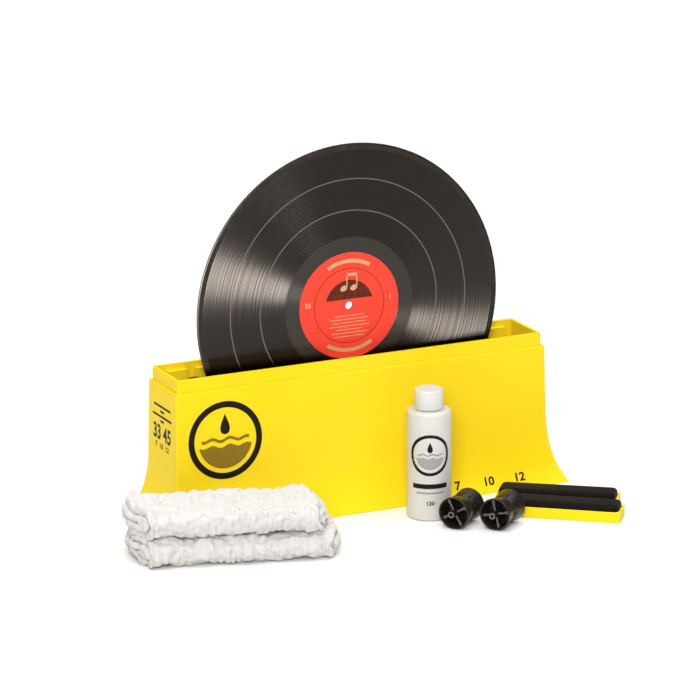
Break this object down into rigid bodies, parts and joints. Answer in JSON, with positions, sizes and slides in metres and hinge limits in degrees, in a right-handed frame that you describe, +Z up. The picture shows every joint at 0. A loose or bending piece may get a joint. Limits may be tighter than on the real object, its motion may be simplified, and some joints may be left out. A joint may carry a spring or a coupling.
{
  "type": "record cleaning machine",
  "caption": "Hand-turned washing basin for vinyl records with a flared skirt, a record on rollers, brushes, spare rollers and brushes, a fluid bottle and folded cloths.",
  "frame": {"origin": "centre of the basin's footprint on the surface it stands on", "axes": "+X along the basin to the right as seen from its front, +Y to its back, +Z up"},
  "size_m": [0.4747, 0.2307, 0.334],
  "materials": {
    "basin_plastic": "glossy moulded",
    "panel_plastic": "glossy moulded",
    "record_vinyl": "grooved, glossy",
    "label_paper": "printed paper",
    "roller_plastic": "glossy moulded",
    "holder_plastic": "glossy moulded",
    "brush_velvet": "velvet",
    "bottle_plastic": "translucent, satin",
    "cap_plastic": "satin",
    "liner_foam": "matte foam",
    "cloth_cotton": "crinkled cotton"
  },
  "bodies": {
    "washer_basin": {"basin_shell": "basin_plastic", "guide_panel_front": "panel_plastic", "guide_panel_rear": "panel_plastic"},
    "turning_record": {"record": "record_vinyl", "record_label_front": "label_paper", "record_label_rear": "label_paper"},
    "left_roller_body": {"left_roller_front_half": "roller_plastic", "left_roller_rear_half": "roller_plastic"},
    "right_roller_body": {"right_roller_front_half": "roller_plastic", "right_roller_rear_half": "roller_plastic"},
    "spare_roller_1_body": {"spare_roller_1_front_half": "roller_plastic", "spare_roller_1_rear_half": "roller_plastic"},
    "spare_roller_2_body": {"spare_roller_2_front_half": "roller_plastic", "spare_roller_2_rear_half": "roller_plastic"},
    "front_brush_body": {"front_brush_holder": "holder_plastic", "front_brush_pad": "brush_velvet"},
    "rear_brush_body": {"rear_brush_holder": "holder_plastic", "rear_brush_pad": "brush_velvet"},
    "spare_brush_1_body": {"spare_brush_1_holder": "holder_plastic", "spare_brush_1_pad": "brush_velvet"},
    "spare_brush_2_body": {"spare_brush_2_holder": "holder_plastic", "spare_brush_2_pad": "brush_velvet"},
    "fluid_bottle": {"bottle": "bottle_plastic"},
    "screw_cap": {"bottle_cap": "cap_plastic", "cap_liner": "liner_foam"},
    "lower_cloth": {"cloth_lower": "cloth_cotton"},
    "upper_cloth": {"cloth_upper": "cloth_cotton"}
  },
  "joints": [
    {"name": "record_spin", "type": "hinge", "parent": "washer_basin", "child": "turning_record", "pos_m": [0, 0, 0.1832], "axis": [0, 1, 0], "continuous": true},
    {"name": "left_roller_spin", "type": "hinge", "parent": "washer_basin", "child": "left_roller_body", "pos_m": [-0.14751, 0, 0.1155], "axis": [0, 1, 0], "continuous": true},
    {"name": "right_roller_spin", "type": "hinge", "parent": "washer_basin", "child": "right_roller_body", "pos_m": [0.14751, 0, 0.1155], "axis": [0, 1, 0], "continuous": true},
    {"name": "front_brush_lift", "type": "slide", "parent": "washer_basin", "child": "front_brush_body", "axis": [0, 0, 1], "range_m": [0, 0.12]},
    {"name": "rear_brush_lift", "type": "slide", "parent": "washer_basin", "child": "rear_brush_body", "axis": [0, 0, 1], "range_m": [0, 0.12]},
    {"name": "spare_roller_1_lift", "type": "slide", "parent": "washer_basin", "child": "spare_roller_1_body", "axis": [0, 0, 1], "range_m": [0, 0.15]},
    {"name": "spare_roller_2_lift", "type": "slide", "parent": "washer_basin", "child": "spare_roller_2_body", "axis": [0, 0, 1], "range_m": [0, 0.15]},
    {"name": "spare_brush_1_lift", "type": "slide", "parent": "washer_basin", "child": "spare_brush_1_body", "axis": [0, 0, 1], "range_m": [0, 0.15]},
    {"name": "spare_brush_2_lift", "type": "slide", "parent": "washer_basin", "child": "spare_brush_2_body", "axis": [0, 0, 1], "range_m": [0, 0.15]},
    {"name": "bottle_lift", "type": "slide", "parent": "washer_basin", "child": "fluid_bottle", "axis": [0, 0, 1], "range_m": [0, 0.15]},
    {"name": "cap_unscrew", "type": "hinge", "parent": "fluid_bottle", "child": "screw_cap", "pos_m": [0.041, -0.081, 0.11], "axis": [0, 0, 1], "range_deg": [0, 540]},
    {"name": "lower_cloth_lift", "type": "slide", "parent": "washer_basin", "child": "lower_cloth", "axis": [0, 0, 1], "range_m": [0, 0.1]},
    {"name": "upper_cloth_lift", "type": "slide", "parent": "lower_cloth", "child": "upper_cloth", "axis": [0, 0, 1], "range_m": [0, 0.1]}
  ],
  "couplings": [
    {"joint": "left_roller_spin", "follows": "record_spin", "ratio": -13.464},
    {"joint": "right_roller_spin", "follows": "record_spin", "ratio": -13.464}
  ]
}
